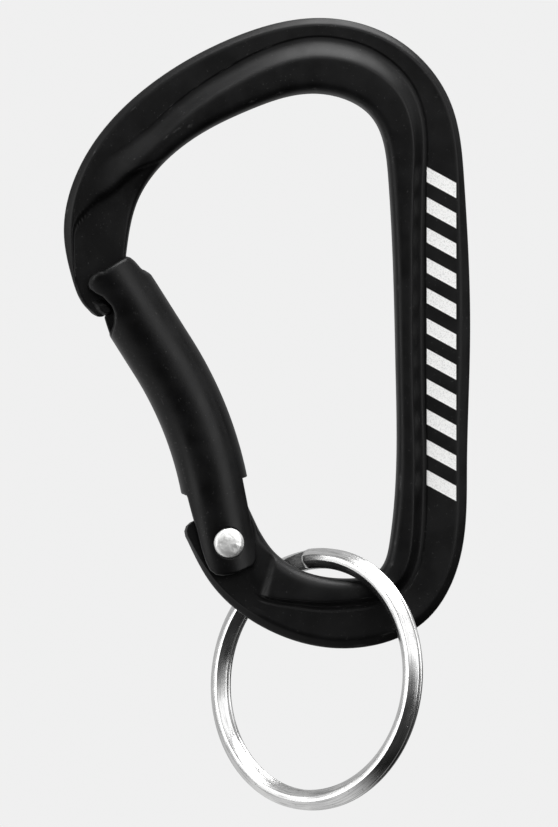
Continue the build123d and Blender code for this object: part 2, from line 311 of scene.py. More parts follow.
def half_section(span, flange, slope, rim, lift, grooved):
    """Front half of each cross-section, from the inner edge to the outer one, as (across, height).

    Factors are shares of the width or height beside them; lone numbers are millimetres.
    """
    fit = np.minimum(1, span / (flange + slope + rim + 0.05))
    zero = 0 * span
    level = zero + WEB_HALF
    flange, slope, rim = flange * fit, slope * fit, rim * fit
    top = WEB_HALF + lift * (FLANGE_HALF - WEB_HALF)
    foot = flange + slope
    dip = WEB_HALF - grooved
    groove = np.minimum(GROOVE_WIDTH, 0.25 * (span - foot - rim))
    web = span - rim - foot - groove
    crest = np.minimum(CREST_REACH, 0.25 * flange)
    turn = np.minimum(EDGE_TURN, flange - 2 * crest)
    rows = [
        (zero, zero), (zero, 0.16 * top), (zero, 0.34 * top),
        (0.10 * turn, 0.66 * top), (0.30 * turn, 0.86 * top), (0.62 * turn, 0.965 * top),
        (turn, 0.99 * top), (flange - crest, top), (flange + crest, top - 0.03 * lift),
        (flange + 0.30 * slope, top - 0.24 * (top - dip)),
        (flange + 0.62 * slope, top - 0.70 * (top - dip)),
        (flange + 0.88 * slope, dip + 0.04 * (top - dip)),
        (foot + 0.25 * groove, dip), (foot + 0.70 * groove, dip),
        (foot + 0.95 * groove, level), (foot + 1.3 * groove, level),
    ]
    rows += [(foot + groove + web * k / 6, level) for k in range(1, 6)]
    rows += [
        (span - rim - RIM_LEAD, level), (span - 0.88 * rim, level - 0.045),
        (span - 0.55 * rim, level - 0.42 * (WEB_HALF - EDGE_HALF)),
        (span - 0.10, zero + EDGE_HALF + 0.06), (span - 0.02, zero + EDGE_HALF - 0.08),
        (span, zero + 0.35 * EDGE_HALF), (span, zero),
    ]
    return np.stack([np.stack(row, axis=1) for row in rows], axis=1)


def frame_mesh():
    """The forging's front surface as a grid of x, y and z: a row for each section, from nose to hinge."""
    inner = join(spline(NECK_SIDE), spline(INNER[::-1]), straight([INNER[0], CAM_RIGHT]))
    tip = straight([NECK_SIDE[0], OUTER[0]], 0.02)
    outer = join(tip, spline(OUTER), spline(LOBE), straight([LOBE[-1], CAM_LEFT]))
    s_inner, s_outer = lengths(inner), lengths(outer)
    at_inner = [s_inner[np.argmin(np.hypot(*(inner - row[0]).T))] for row in SECTIONS]
    at_outer = [s_outer[np.argmin(np.hypot(*(outer - row[1]).T))] for row in SECTIONS]
    stations = np.concatenate([
        np.arange(0, FINE_LENGTH, FINE_STATION),
        np.linspace(FINE_LENGTH, s_inner[-1], int((s_inner[-1] - FINE_LENGTH) / STATION)),
    ])
    ends = np.minimum(stations, stations[-1] - stations)
    blur = np.clip(ends, LEAST_BLUR, BLUR)
    across = eased(stations, at_inner, at_outer, blur)
    near = np.stack([np.interp(stations, s_inner, inner[:, i]) for i in (0, 1)], axis=1)
    far = np.stack([np.interp(across, s_outer, outer[:, i]) for i in (0, 1)], axis=1)
    span = np.linalg.norm(far - near, axis=1)
    shape_blur = np.minimum(blur, SHAPE_BLUR)
    flange, slope, rim, lift = [
        eased(stations, at_inner, [row[i] for row in SECTIONS], shape_blur) for i in (2, 3, 4, 5)]
    grooved = GROOVE_DEPTH * lift * np.clip((near[:, 0] - GROOVE_FROM) / GROOVE_FADE, 0, 1)
    half = corner_cut(half_section(span, flange, slope, rim, lift, grooved), CORNER_CUTS)
    way = (far - near) / span[:, None]
    x = near[:, :1] + way[:, :1] * half[:, :, 0]
    z = near[:, 1:] + way[:, 1:] * half[:, :, 0]
    top = WEB_HALF + lift[:, None] * (FLANGE_HALF - WEB_HALF)
    y = shaped(x, z, half[:, :, 1], top, half[:, :, 0] < INNER_SHARE * flange[:, None])
    return x, y, z


def shaped(x, z, y, top, inner_part):
    """The section's height cut back by the dish beside the nose, and where the flange ends by the hinge."""
    dist, side = to_polyline(x, z, spline(DISH))
    faded = DISH_FADE * ease((x - FADE_FROM) / FADE_LENGTH)
    floor = NECK_HALF + faded + DISH_RISE * np.where(side > 0, 0, dist)
    floor = np.where((x < DISH_RIGHT) & (z > DISH_LOW), floor, UNCUT)
    ceiling = smooth_min(top, floor, DISH_BLEND)
    rounder = 1 + DISH_ROUNDING * np.clip((top - ceiling) / (top - NECK_HALF + 0.01), 0, 1)
    y = np.where(inner_part, ceiling * (y / top) ** rounder, smooth_min(y, floor, DISH_BLEND))
    dist, side = to_polyline(x, z, np.array(FLANGE_END))
    floor = WEB_HALF + END_RISE * np.where(side > 0, dist, 0)
    near_hinge = (x < HINGE_RIGHT) & (z < HINGE_TOP)
    y = np.where(near_hinge, smooth_min(y, floor + END_LIFT, END_BLEND), y)
    plain = near_hinge & (side < 0) & ~inner_part & (y > WEB_HALF - 0.1)
    y = np.where(plain, WEB_HALF, y)
    return y


def grid_faces(rows, columns):
    """Quads of a grid of points in which every row closes on itself."""
    faces = []
    for row in range(rows - 1):
        here, ahead = row * columns, (row + 1) * columns
        for c in range(columns):
            d = (c + 1) % columns
            faces.append((here + c, here + d, ahead + d, ahead + c))
    return faces


def drill(piece):
    """Cuts the rivet's hole through the tang."""
    cutter = bpy.data.meshes.new("drill")
    shell = bmesh.new()
    turned = Matrix.Translation((PIVOT[0] * MM, 0, PIVOT[1] * MM)) @ Matrix.Rotation(pi / 2, 4, "X")
    bmesh.ops.create_cone(
        shell, cap_ends=True, segments=HOLE_SIDES, radius1=HOLE_R * MM, radius2=HOLE_R * MM,
        depth=4 * FLANGE_HALF * MM, matrix=turned)
    shell.to_mesh(cutter)
    shell.free()
    tool = place_object("drill", cutter)
    hole = piece.modifiers.new("hole", "BOOLEAN")
    hole.object = tool
    hole.solver = "EXACT"
    piece.data = evaluated_mesh(piece)
    piece.modifiers.clear()
    bpy.data.objects.remove(tool)


def build_frame(material):
    """The forging: its front surface, the same surface mirrored to the back, and a cap at either end."""
    x, y, z = frame_mesh()
    front = np.stack([x, -y, z], axis=2)
    back = np.stack([x, y, z], axis=2)[:, -2:0:-1]
    points = np.concatenate([front, back], axis=1)
    rows, columns = points.shape[:2]
    faces = grid_faces(rows, columns)
    faces.append(tuple(range(columns)))
    faces.append(tuple(reversed(range((rows - 1) * columns, rows * columns))))
    piece = make_object("frame_forging", points.reshape(-1, 3), faces, "frame", material)
    drill(piece)
    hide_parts("frame_body")


# ---- gate ----
BARREL_IN_PLANE, BARREL_THROUGH = 3.24, 2.8  # half widths of its oval section
BARREL_LEAN, BARREL_BEND, BARREL_TURN = 11.1, 35.8, 21.2  # degrees, radius of the bend, degrees
BARREL_OFFSET, BEND_START = -0.33, 5.6
HEAD_SLOT_HALF, TAIL_SLOT_HALF, TAIL_FLOOR = 1.0, 1.35, 5.5
RIVET_R, RIVET_HEAD_R, RIVET_SEAT, RIVET_TOP = 1.0, 1.43, 2.5, 3.15
BORE_LEAN, BORE_OFFSET, BORE_R, BORE_END = 17.0, 0.8, 1.05, 12.6
CAM_HEIGHT = 3.02
HEAD_TOP = [
    (-15.9, -16.9), (-16.42, -16.85), (-16.99, -16.54), (-17.65, -15.86), (-18.03, -15.57),
    (-18.4, -15.46),
]
LOBE_EDGE = [
    (-20.6, -16.87), (-21.1, -16.95), (-21.6, -17.2), (-21.95, -17.6), (-22.1, -18.1), (-22.0, -18.55),
    (-21.65, -18.85),
]
TAIL_END = [
    (-12.65, -38.45), (-12.2, -40.0), (-11.75, -41.5), (-11.3, -43.2), (-10.85, -44.5), (-10.45, -45.3),
    (-9.9, -45.72), (-9.2, -45.83), (-8.1, -45.65), (-7.1, -45.25), (-6.3, -44.85), (-6.02, -44.3),
    (-5.95, -43.2), (-5.92, -41.1), (-7.0, -36.6),
]
GATE_OUTLINE = [(-12.0, -21.0)] + HEAD_TOP + LOBE_EDGE + [
    (-20.56, -21.15), (-20.05, -22.8), (-21.0, -26.0), (-14.0, -38.1), (-12.95, -38.1),
] + TAIL_END + [(-6.4, -36.3), (-6.0, -34.0)]
HEAD_SLOT = [(-16.9, -16.6), (-20.62, -21.2), (-26.0, -21.13), (-26.0, -10.0), (-14.0, -14.0)]
NOTCH = [
    (-22.0, -18.7), (-20.65, -19.3), (-19.8, -20.2), (-19.5, -20.9), (-19.5, -21.9), (-20.0, -23.3),
    (-23.5, -23.3), (-23.5, -18.7),
]
SLOT_HOLLOW = 0.26  # how much deeper the head's slot is in its middle
EDGE_ROUND, HEAD_ROUND = 0.2, 0.5
HEAD_LOW, HEAD_FADE = -20.0, 2.0  # where the head's rounder edge starts, and over what length
SLOT_ROUND, NOTCH_ROUND, SEAT_ROUND = 0.15, 0.22, 0.1
RIVET_PLAY = 0.02
VOXEL = 0.11
MARGIN = 3  # grid cells left free round a piece


def along(lean, distance, offset=0.0):
    """A point seen from the rivet: so far along a line leaning left, so far to its right."""
    a = radians(lean)
    x = PIVOT[0] - distance * sin(a) + offset * cos(a)
    z = PIVOT[1] + distance * cos(a) + offset * sin(a)
    return np.array([x, z])


def barrel_offset(x, z):
    """How far a point lies to the right of the barrel's axis: a straight, a bend and a straight."""
    a, b = radians(BARREL_LEAN), radians(BARREL_LEAN + BARREL_TURN)
    start = along(BARREL_LEAN, BEND_START, BARREL_OFFSET)
    centre = start - BARREL_BEND * np.array([cos(a), sin(a)])
    angle = np.arctan2(z - centre[1], x - centre[0])
    bend = np.hypot(x - centre[0], z - centre[1]) - BARREL_BEND
    low = (x - start[0]) * cos(a) + (z - start[1]) * sin(a)
    end = centre + BARREL_BEND * np.array([cos(b), sin(b)])
    high = (x - end[0]) * cos(b) + (z - end[1]) * sin(b)
    return np.where(angle < a, low, np.where(angle > b, high, bend))


def gate_plan(x, z):
    """What the gate's surface needs to know about a point of the XZ plane."""
    a = radians(BORE_LEAN)
    dx, dz = x - PIVOT[0], z - PIVOT[1]
    up = -dx * sin(a) + dz * cos(a)
    right = dx * cos(a) + dz * sin(a)
    outline = signed(x, z, np.array(GATE_OUTLINE))
    slot = signed(x, z, np.array(HEAD_SLOT))
    notch = signed(x, z, np.array(NOTCH))
    edge = EDGE_ROUND + (HEAD_ROUND - EDGE_ROUND) * np.clip((z - HEAD_LOW) / HEAD_FADE, 0, 1)
    return barrel_offset(x, z), outline, slot, notch, np.hypot(dx, dz), up, right - BORE_OFFSET, edge


def gate_field(plan, y):
    """Negative inside the gate, and close to a distance near its surface."""
    across, outline, slot, notch, pivot, up, bore, edge = plan
    y = np.abs(y)
    share = np.hypot(across / BARREL_IN_PLANE, y / BARREL_THROUGH)
    slope = np.hypot(across / BARREL_IN_PLANE ** 2, y / BARREL_THROUGH ** 2) + 1e-9
    f = smooth_max(share * (share - 1) / slope, outline, edge)
    hollow = SLOT_HOLLOW * np.clip(1 - (y / HEAD_SLOT_HALF) ** 2, 0, 1)
    f = smooth_max(f, -np.maximum(y - HEAD_SLOT_HALF, slot - hollow), SLOT_ROUND)
    f = smooth_max(f, -np.maximum(y - TAIL_SLOT_HALF, up - TAIL_FLOOR), SLOT_ROUND)
    f = smooth_max(f, -np.maximum(notch, HEAD_SLOT_HALF - y), NOTCH_ROUND)
    seat = smooth_max(pivot - RIVET_HEAD_R, RIVET_SEAT - y, SEAT_ROUND)
    f = smooth_max(f, -seat, SEAT_ROUND)
    f = np.maximum(f, RIVET_R + RIVET_PLAY - pivot)
    hole = np.maximum(np.hypot(bore, y) - BORE_R, np.maximum(up - BORE_END, -up))
    return np.maximum(f, -hole)


def surface(field, low, high, step):
    """Quads on the zero surface of a field: one point in each grid cell that it crosses."""
    axes = [np.arange(a, b + step, step) for a, b in zip(low, high)]
    f = field(*axes)
    inside = f < 0
    shape = [n - 1 for n in f.shape]
    total = np.zeros(shape + [3])
    count = np.zeros(shape)
    corner = [np.s_[:-1], np.s_[1:]]
    for axis in range(3):
        others = [i for i in range(3) if i != axis]
        for p in (0, 1):
            for q in (0, 1):
                a, b = [None] * 3, [None] * 3
                a[axis], b[axis] = corner[0], corner[1]
                a[others[0]] = b[others[0]] = corner[p]
                a[others[1]] = b[others[1]] = corner[q]
                fa, fb = f[tuple(a)], f[tuple(b)]
                cut = (fa < 0) != (fb < 0)
                where = np.where(cut, fa / np.where(cut, fa - fb, 1), 0)
                count += cut
                total[..., axis] += where
                total[..., others[0]] += cut * p
                total[..., others[1]] += cut * q
    used = count > 0
    index = np.full(shape, -1)
    index[used] = np.arange(used.sum())
    cell = np.argwhere(used)
    points = (total[used] / count[used][:, None] + cell) * step + [a[0] for a in axes]
    faces = []
    for axis in range(3):
        u, v = [(1, 2), (2, 0), (0, 1)][axis]
        ahead = np.roll(inside, -1, axis)
        change = inside != ahead
        change[tuple(np.s_[-1:] if i == axis else np.s_[:] for i in range(3))] = False
        at = np.argwhere(change)
        at = at[(at[:, u] > 0) & (at[:, v] > 0) & (at[:, u] < shape[u]) & (at[:, v] < shape[v])]
        ring = []
        for du, dv in ((1, 1), (0, 1), (0, 0), (1, 0)):
            c = at.copy()
            c[:, u] -= du
            c[:, v] -= dv
            ring.append(index[tuple(c.T)])
        quad = np.stack(ring, axis=1)
        flip = ~inside[tuple(at.T)]
        quad[flip] = quad[flip][:, ::-1]
        faces.append(quad)
    return points, np.concatenate(faces)


def settle(points, faces, distance, rounds=3):
    """Evens out the points along the surface, and brings each back onto it."""
    probe, least_square, longest_step = 0.004, 0.25, 0.1
    edges = np.concatenate([faces[:, [0, 1]], faces[:, [1, 2]], faces[:, [2, 3]], faces[:, [3, 0]]])
    degree = np.bincount(edges.ravel(), minlength=len(points))[:, None]
    for _ in range(rounds):
        near = np.zeros_like(points)
        for i in range(3):
            near[:, i] = np.bincount(edges[:, 0], points[edges[:, 1], i], len(points))
            near[:, i] += np.bincount(edges[:, 1], points[edges[:, 0], i], len(points))
        points = 0.5 * points + 0.5 * near / degree
        for _ in range(2):
            here = distance(points)
            slope = np.stack([distance(points + probe * e) - here for e in np.eye(3)], axis=1) / probe
            step = here[:, None] * slope / np.maximum((slope ** 2).sum(axis=1), least_square)[:, None]
            points = points - np.clip(step, -longest_step, longest_step)
    return points


def build_gate(material):
    """The bent bar, with its head slotted for the nose and its tail slotted for the tang."""
    low, high = (np.array(c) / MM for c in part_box("gate"))
    low, high = low - MARGIN * VOXEL, high + MARGIN * VOXEL

    def field(xs, ys, zs):
        x, z = np.meshgrid(xs, zs, indexing="ij")
        plan = [p[:, None, :] for p in gate_plan(x, z)]
        return gate_field(plan, ys[None, :, None])

    points, faces = surface(field, low, high, VOXEL)
    points = settle(points, faces, lambda p: gate_field(gate_plan(p[:, 0], p[:, 2]), p[:, 1]))
    piece = make_object("gate_bar", points, faces, "gate", material)
    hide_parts("gate")


def build_bulb(material):
    """The nose's key: it stands proud of the neck on both sides; the gate's ears are cut away round it."""
    outline = spline(BULB + BULB[:1], 0.08)
    neck = spline(NECK_SIDE)

    def plan_at(x, z):
        dist, side = to_polyline(x, z, neck)
        return signed(x, z, outline), -side * dist, ease((BULB_MIDDLE - x) / BULB_CHANGE)

    def height(plan, y):
        edge, right, left = plan
        depth = np.clip(-edge / (BULB_ROUND + (BULB_FADE - BULB_ROUND) * left), 0, 1)
        rise = (1 - left) * np.sqrt(1 - (1 - depth) ** 2) + left * ease(depth)
        low = BULB_LOW * left
        f = np.maximum(0.7 * (np.abs(y) - low - (BULB_HALF - low) * rise), edge)
        free = np.minimum(right + KEEP_OUT_GAP, WEB_KEEP_OUT - np.abs(y))
        return smooth_max(f, free, KEEP_OUT_ROUND)

    def field(xs, ys, zs):
        x, z = np.meshgrid(xs, zs, indexing="ij")
        return height([p[:, None, :] for p in plan_at(x, z)], ys[None, :, None])

    low = np.array([outline[:, 0].min(), -BULB_HALF, outline[:, 1].min()]) - MARGIN * BULB_VOXEL
    high = np.array([outline[:, 0].max(), BULB_HALF, outline[:, 1].max()]) + MARGIN * BULB_VOXEL
    points, faces = surface(field, low, high, BULB_VOXEL)
    points = settle(points, faces, lambda p: height(plan_at(p[:, 0], p[:, 2]), p[:, 1]), rounds=2)
    piece = make_object("frame_nose_key", points, faces, "frame", material)
    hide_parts("frame_body")


# ---- split ring ----
RING_R, RING_DEPTH, RING_HALF = 12.5, 1.93, 1.0
RING_BEVEL, RING_FLAT = 0.7, 0.35  # how far the large bevels reach in, and the height they leave
RING_SMALL_BEVEL = 0.12
RING_YAW, RING_LEAN = 38.2, 8.0
RING_CENTRE = (-0.35, 0.0, -55.69)
RING_END = 105.5  # degrees round the ring at which its front turn starts
RING_JOG = 26.0  # degrees over which the wire crosses to the back turn
RING_STEP = 1.0
RING_GAP = 0.015  # half the gap between the two turns
RING_TAPER = 0.07  # how much of its thickness the wire loses at each of the last two sections
CORNER_ROUND = 0.05


def ring_axes():
    """The ring's own directions: to its right, up and towards the viewer."""
    yaw, lean = radians(RING_YAW), radians(RING_LEAN)
    up = Vector((sin(lean), 0, cos(lean)))
    back = Vector((sin(yaw) * cos(lean), cos(yaw), -sin(yaw) * sin(lean)))
    return up.cross(back).normalized() * -1, up, -back


def turn_section(t):
    """The wire's section as (radius, towards the viewer).

    Its large bevels face forward at t 0 and back at t 1.
    """
    inner, outer = RING_R - RING_DEPTH, RING_R
    half = RING_HALF / 2 - RING_GAP
    big = np.array([RING_BEVEL, RING_HALF - RING_FLAT])
    small = np.array([RING_SMALL_BEVEL, RING_SMALL_BEVEL])
    front, back = big + t * (small - big), small + t * (big - small)
    corners = np.array([
        (outer, half - front[1]), (outer - front[0], half),
        (inner + front[0], half), (inner, half - front[1]),
        (inner, back[1] - half), (inner + back[0], -half),
        (outer - back[0], -half), (outer, back[1] - half),
    ])
    points = []
    for k, corner in enumerate(corners):
        before, after = corners[k - 1] - corner, corners[(k + 1) % len(corners)] - corner
        a = corner + before * min(0.4, CORNER_ROUND / np.linalg.norm(before))
        b = corner + after * min(0.4, CORNER_ROUND / np.linalg.norm(after))
        points += [a, 0.25 * a + 0.5 * corner + 0.25 * b, b]
    return np.array(points)


def build_ring(material):
    """The wire starts in the front turn, runs round, crosses over, and runs round again behind it."""
    right, up, front = [np.array(v) for v in ring_axes()]
    centre = np.array(RING_CENTRE)
    sweep = 720.0 - RING_JOG
    angles = np.linspace(0, sweep, int(sweep / RING_STEP))
    middle = RING_R - RING_DEPTH / 2
    rows = []
    for k, angle in enumerate(angles):
        t = ease((angle - (360 - RING_JOG)) / RING_JOG)
        theta = radians(RING_END - angle)
        out = cos(theta) * right + sin(theta) * up
        shrink = 1 - RING_TAPER * max(0, 2 - min(k, len(angles) - 1 - k))
        section = turn_section(t)
        radius = middle + (section[:, :1] - middle) * shrink
        ahead = (0.5 - t) * RING_HALF + section[:, 1:] * shrink
        rows.append(centre + out * radius + front * ahead)
    columns = len(rows[0])
    points = np.concatenate(rows)
    faces = [face[::-1] for face in grid_faces(len(rows), columns)]
    faces.append(tuple(range(columns)))
    faces.append(tuple(reversed(range(len(points) - columns, len(points)))))
    piece = make_object("split_ring_coil", points, faces, "key_ring", material)
    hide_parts("split_ring")


# ---- rivet, spring and plunger ----
RIVET_SIDES, DOME_POINTS = 96, 22
DOME_RISE, DOME_SIDE = 0.75, 0.6  # powers that make the dome fuller than a half round
DENT_BASE, DENT_DEPTH = 0.03, 0.06
BORE_UP = np.array([-sin(radians(BORE_LEAN)), 0.0, cos(radians(BORE_LEAN))])
PLUNGER_R, PLUNGER_LENGTH, PLUNGER_NOSE = 1.0, 4.2, 0.6
PLUNGER_CHAMFER, PLUNGER_SIDES = 0.12, 48
SPRING_R, SPRING_WIRE_R, SPRING_TURNS = 0.8, 0.15, 8
SPRING_STEPS = 24  # straights in each turn
FLAT_TURNS, FLAT_RISE = 0.8, 0.06  # nearly flat turns at each end, and their share of the rise


def lathe(name, profile, origin, axis, turns, body, material):
    """A profile of (along, radius) that starts and ends on an axis, turned about it."""
    axis = np.array(axis, float)
    side = np.cross(axis, [0.3, 0.9, 0.2])
    side /= np.linalg.norm(side)
    other = np.cross(axis, side)
    points = []
    for k in range(turns):
        a = 2 * pi * k / turns
        for d, r in profile:
            points.append(np.array(origin) + axis * d + r * (cos(a) * side + sin(a) * other))
    n = len(profile)
    faces = []
    for k in range(turns):
        j = (k + 1) % turns
        for c in range(n - 1):
            faces.append((k * n + c, k * n + c + 1, j * n + c + 1, j * n + c))
    piece = make_object(name, points, faces, body, material)
    weld(piece)
    return piece


def weld(piece):
    """Joins the points that lie together, as a lathe's do on its axis, and turns the faces outwards."""
    work = bmesh.new()
    work.from_mesh(piece.data)
    bmesh.ops.remove_doubles(work, verts=work.verts, dist=1e-7)
    bmesh.ops.recalc_face_normals(work, faces=work.faces)
    work.to_mesh(piece.data)
    work.free()


def build_rivet(material):
    """A pin with a domed, lightly hammered head at each end."""
    dome = [(RIVET_SEAT + (RIVET_TOP - RIVET_SEAT) * sin(a) ** DOME_RISE, RIVET_HEAD_R * cos(a) ** DOME_SIDE)
            for a in np.linspace(0, pi / 2, DOME_POINTS)]
    half = [(0.0, RIVET_R), (RIVET_SEAT - 0.02, RIVET_R), (RIVET_SEAT, RIVET_HEAD_R - 0.08),
            (RIVET_SEAT + 0.03, RIVET_HEAD_R - 0.02)] + dome[1:-1] + [(RIVET_TOP, 0.0)]
    profile = [(-d, r) for d, r in half[::-1]] + half[1:]
    piece = lathe(
        "gate_rivet_pin", profile, (PIVOT[0], 0, PIVOT[1]), (0, 1, 0), RIVET_SIDES, "gate", material)
    middle = Vector((PIVOT[0] * MM, 0, PIVOT[1] * MM))
    for v in piece.data.vertices:
        if abs(v.co.y) > (RIVET_SEAT + 0.2) * MM:
            spot = (v.co - middle) / MM
            dent = noise.noise(spot * 1.6) * 0.6 + noise.noise(spot * 4.1 + Vector((3, 1, 7))) * 0.25
            v.co.y -= (1 if v.co.y > 0 else -1) * (DENT_BASE + DENT_DEPTH * dent) * MM
    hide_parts("gate_rivet")


def bore_point(distance):
    """A point on the bore's axis, so far up from the rivet."""
    x, z = along(BORE_LEAN, distance, BORE_OFFSET)
    return np.array([x, 0.0, z])


def build_plunger(material):
    """A round pin with a rounded nose towards the tang."""
    nose = [(PLUNGER_NOSE * (1 - sin(a)), PLUNGER_R - PLUNGER_NOSE * (1 - cos(a)))
            for a in np.linspace(pi / 2, 0, 9)]
    profile = [(0.0, 0.0)] + nose + [
        (PLUNGER_LENGTH - PLUNGER_CHAMFER, PLUNGER_R), (PLUNGER_LENGTH, PLUNGER_R - PLUNGER_CHAMFER),
        (PLUNGER_LENGTH, 0.0),
    ]
    piece = lathe(
        "plunger_pin", profile, bore_point(CAM_HEIGHT), BORE_UP, PLUNGER_SIDES, "plunger", material)
    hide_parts("spring_plunger")


def build_spring(material):
    """A coil with closed ends, built at one length; the real one shortens as the plunger goes in."""
    start = CAM_HEIGHT + PLUNGER_LENGTH + SPRING_WIRE_R
    length = BORE_END - SPRING_WIRE_R - start
    curve = bpy.data.curves.new("gate_spring_coil", "CURVE")
    curve.dimensions = "3D"
    curve.bevel_depth = SPRING_WIRE_R * MM
    curve.bevel_resolution = 3
    curve.use_fill_caps = True
    side = np.array([cos(radians(BORE_LEAN)), 0.0, sin(radians(BORE_LEAN))])
    other = np.array([0.0, 1.0, 0.0])
    steps = SPRING_TURNS * SPRING_STEPS
    line = curve.splines.new("POLY")
    line.points.add(steps)
    for k in range(steps + 1):
        turn = SPRING_TURNS * k / steps
        rise = np.interp(
            turn, [0, FLAT_TURNS, SPRING_TURNS - FLAT_TURNS, SPRING_TURNS], [0, FLAT_RISE, 1 - FLAT_RISE, 1])
        p = bore_point(start + rise * length)
        p = p + SPRING_R * (cos(2 * pi * turn) * side + sin(2 * pi * turn) * other)
        line.points[k].co = (*(p * MM), 1)
    holder = place_object("coil_path", curve)
    mesh = evaluated_mesh(holder)
    bpy.data.objects.remove(holder)
    mesh.materials.clear()
    mesh.materials.append(material)
    piece = place_object("gate_spring_coil", mesh)
    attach(piece, "gate")
    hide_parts("gate_spring")
    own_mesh(piece)


# ---- materials ----
BLACK_DEEP, BLACK_PALE = (0.0014, 0.0014, 0.0015), (0.003, 0.003, 0.0032)
# grey of the worn flecks and of the sharp edges; on the edges it is partly wear and partly a painted
# highlight along the crests and rims
WEAR_AND_EDGE_HIGHLIGHT, ETCHED = (0.08, 0.08, 0.08), (0.92, 0.92, 0.91)
RING_GREY, RING_PALE = (0.60, 0.60, 0.60), (0.72, 0.72, 0.715)
RING_PIT, RING_LINE = (0.3, 0.3, 0.3), (0.2, 0.2, 0.2)
DRAWN = 0.55  # how strong the drawing lines of the ring are
DRAWN_ALONG = 0.0004  # metres that stand for a radian round the ring
RIVET_GREY, RIVET_PALE = (0.80, 0.80, 0.79), (0.92, 0.92, 0.91)
SPRING_DARK, SPRING_PALE = (0.28, 0.27, 0.26), (0.46, 0.45, 0.43)
BAR_TOP, BAR_PITCH, BAR_COUNT = -7.0, 2.88, 11
BAR_MIDDLE, BAR_HALF, BAR_SHARE, BAR_SLANT = 11.55, 1.4, 0.5, -0.55
BAR_ENDS, BAR_SIDES = 0.02, 0.01  # softness of a bar's short ends and of its long sides


def add(tree, kind, inputs=(), **settings):
    """Adds a node. Inputs gives, by socket name or number, a value or another node's output."""
    made = tree.nodes.new(kind)
    for key, value in settings.items():
        setattr(made, key, value)
    for key, value in dict(inputs).items():
        if isinstance(value, bpy.types.NodeSocket):
            tree.links.new(value, made.inputs[key])
        else:
            made.inputs[key].default_value = value
    return made


def calc(tree, operation, *values):
    """The result of a maths node."""
    return add(tree, "ShaderNodeMath", dict(enumerate(values)), operation=operation).outputs[0]


def vector(tree, operation, *values):
    """A node that calculates with vectors."""
    return add(tree, "ShaderNodeVectorMath", dict(enumerate(values)), operation=operation)


def ramp(tree, value, low, high, at_low=0.0, at_high=1.0):
    """Blends from at_low to at_high, without corners, as the value goes from low to high."""
    given = {"Value": value, "From Min": low, "From Max": high, "To Min": at_low, "To Max": at_high}
    return add(tree, "ShaderNodeMapRange", given, interpolation_type="SMOOTHSTEP").outputs["Result"]


def speckle(tree, place, scale, detail=2.0):
    """Noise with so many bumps to the metre."""
    given = {"Vector": place, "Scale": scale, "Detail": detail}
    return add(tree, "ShaderNodeTexNoise", given).outputs[0]


def drawn_out(tree, place, scale, share):
    """Noise drawn out along Z, where only this share of its bumps to the metre is left."""
    stretched = add(tree, "ShaderNodeMapping", {"Vector": place, "Scale": (1, 1, share)}).outputs[0]
    return speckle(tree, stretched, scale)


def mix(tree, share, a, b):
    """A colour between a and b; each is a colour or another node's output."""
    made = add(tree, "ShaderNodeMix", {"Factor": share}, data_type="RGBA")
    for socket, value in ((made.inputs[6], a), (made.inputs[7], b)):
        if isinstance(value, bpy.types.NodeSocket):
            tree.links.new(value, socket)
        else:
            socket.default_value = (*value, 1)
    return made.outputs[2]


def new_material(name, **values):
    """A material with one Principled shader, and the place on the object; values are set on the shader."""
    material = bpy.data.materials.new(name)
    material.use_nodes = True
    tree = material.node_tree
    shader = tree.nodes["Principled BSDF"]
    for key, value in values.items():
        shader.inputs[key.replace("_", " ")].default_value = value
    return material, tree, shader, add(tree, "ShaderNodeTexCoord").outputs["Object"]


def dress(tree, shader, color, rough, *layers):
    """Links the colour, the roughness and a stack of bumps.

    Each layer is a height between 0 and 1 and its depth in millimetres.
    """
    tree.links.new(color, shader.inputs["Base Color"])
    tree.links.new(rough, shader.inputs["Roughness"])
    normal = None
    for height, depth in layers:
        given = {"Height": height, "Distance": depth * MM, "Strength": 1.0}
        if normal:
            given["Normal"] = normal
        normal = add(tree, "ShaderNodeBump", given).outputs["Normal"]
    tree.links.new(normal, shader.inputs["Normal"])


def bars(tree, place):
    """1 on the engraved bars of the spine's front web and 0 elsewhere."""
    x, y, z = add(tree, "ShaderNodeSeparateXYZ", {0: place}).outputs
    across = calc(tree, "SUBTRACT", calc(tree, "DIVIDE", x, MM), BAR_MIDDLE)
    down = calc(tree, "DIVIDE", calc(tree, "SUBTRACT", BAR_TOP * MM, z), MM)
    slanted = calc(tree, "ADD", down, calc(tree, "MULTIPLY", across, BAR_SLANT))
    phase = calc(tree, "DIVIDE", slanted, BAR_PITCH)
    within = calc(tree, "ABSOLUTE", calc(tree, "SUBTRACT", calc(tree, "FRACT", phase), 0.5))
    bar = ramp(tree, within, BAR_SHARE / 2 - BAR_SIDES, BAR_SHARE / 2 + BAR_SIDES, 1.0, 0.0)
    aside = calc(tree, "ABSOLUTE", across)
    wide = ramp(tree, aside, BAR_HALF - BAR_ENDS, BAR_HALF + BAR_ENDS, 1.0, 0.0)
    started = calc(tree, "GREATER_THAN", phase, 0.0)
    ended = calc(tree, "LESS_THAN", phase, float(BAR_COUNT))
    front = calc(tree, "LESS_THAN", y, -0.9 * WEB_HALF * MM)
    total = calc(tree, "MULTIPLY", bar, wide)
    for part in (started, ended, front):
        total = calc(tree, "MULTIPLY", total, part)
    return total


